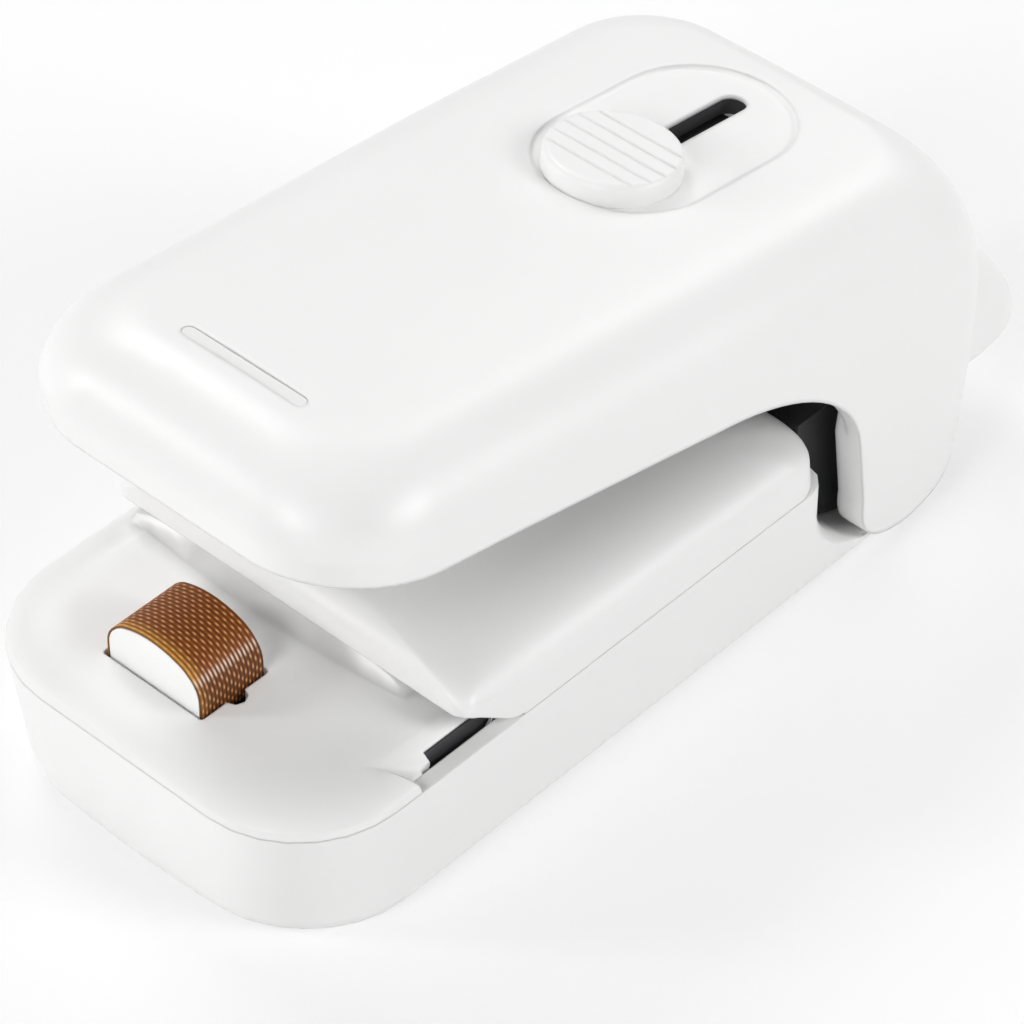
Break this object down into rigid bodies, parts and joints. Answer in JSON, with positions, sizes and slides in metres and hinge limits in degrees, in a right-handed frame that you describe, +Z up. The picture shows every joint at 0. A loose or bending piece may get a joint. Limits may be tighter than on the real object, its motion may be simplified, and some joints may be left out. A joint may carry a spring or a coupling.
{
  "type": "mini bag sealer",
  "caption": "Hand-held heat sealer for bags: arched hot jaw at the front, sprung lever with a press pad and slide lock, cutter slot at one side and a bay for two AA cells.",
  "frame": {"origin": "on the table under the middle of the overall length and width", "axes": "+X to the side with the cutter slot, +Y from the hot jaw to the hinge, +Z up"},
  "size_m": [0.0496, 0.112, 0.0524],
  "materials": {
    "shell": "satin white",
    "dark": "matt black",
    "film": "brown coated glass cloth with a fine weave",
    "ceramic": "heat-proof white moulding",
    "pad": "pale silicone",
    "steel": "plain sheet and bar",
    "spring": "drawn wire",
    "cell": "printed wrap over a metal can",
    "wire_red": "insulated lead",
    "wire_black": "insulated lead"
  },
  "bodies": {
    "body": {"base_tub": "shell", "deck_plate": "shell", "mid_cover": "shell", "hinge_saddle": "dark", "tail_cover": "shell", "heater_spring": "spring", "switch_leaf": "steel", "cutter_blade": "steel", "blade_holder": "dark", "battery_left": "cell", "battery_right": "cell", "contact_bridge": "steel", "contact_plate_left": "steel", "contact_plate_right": "steel", "contact_spring_left": "spring", "contact_spring_right": "spring", "lead_wire_left": "wire_red", "lead_wire_right": "wire_black", "hinge_pin_left": "steel", "hinge_pin_right": "steel", "hinge_spring_left": "spring", "hinge_spring_right": "spring", "screw_front_left": "steel", "screw_front_right": "steel", "screw_rear_left": "steel", "screw_rear_right": "steel"},
    "lever": {"lever_shell": "shell", "lever_frame": "dark", "press_pad": "pad"},
    "lock": {"lock_knob": "shell", "lock_hook": "dark"},
    "jaw": {"heater_block": "ceramic", "heating_strip": "steel", "ptfe_cover": "film"},
    "door": {"battery_door": "shell"}
  },
  "joints": [
    {"name": "lever_hinge", "type": "hinge", "parent": "body", "child": "lever", "pos_m": [0, 0.0312, 0.0102], "axis": [1, 0, 0], "range_deg": [0, 12.5], "stiffness_Nm_per_rad": 0.03, "springref_deg": -34.38},
    {"name": "lock_slide", "type": "slide", "parent": "lever", "child": "lock", "axis": [0, 0.9925, -0.1219], "range_m": [0, 0.014]},
    {"name": "jaw_press", "type": "slide", "parent": "body", "child": "jaw", "axis": [0, 0, 1], "range_m": [-0.0012, 0], "stiffness_N_per_m": 2000, "springref_m": 0.0006, "deforming": ["heater_spring"]},
    {"name": "door_slide", "type": "slide", "parent": "body", "child": "door", "axis": [0, 1, 0], "range_m": [0, 0.03]}
  ]
}
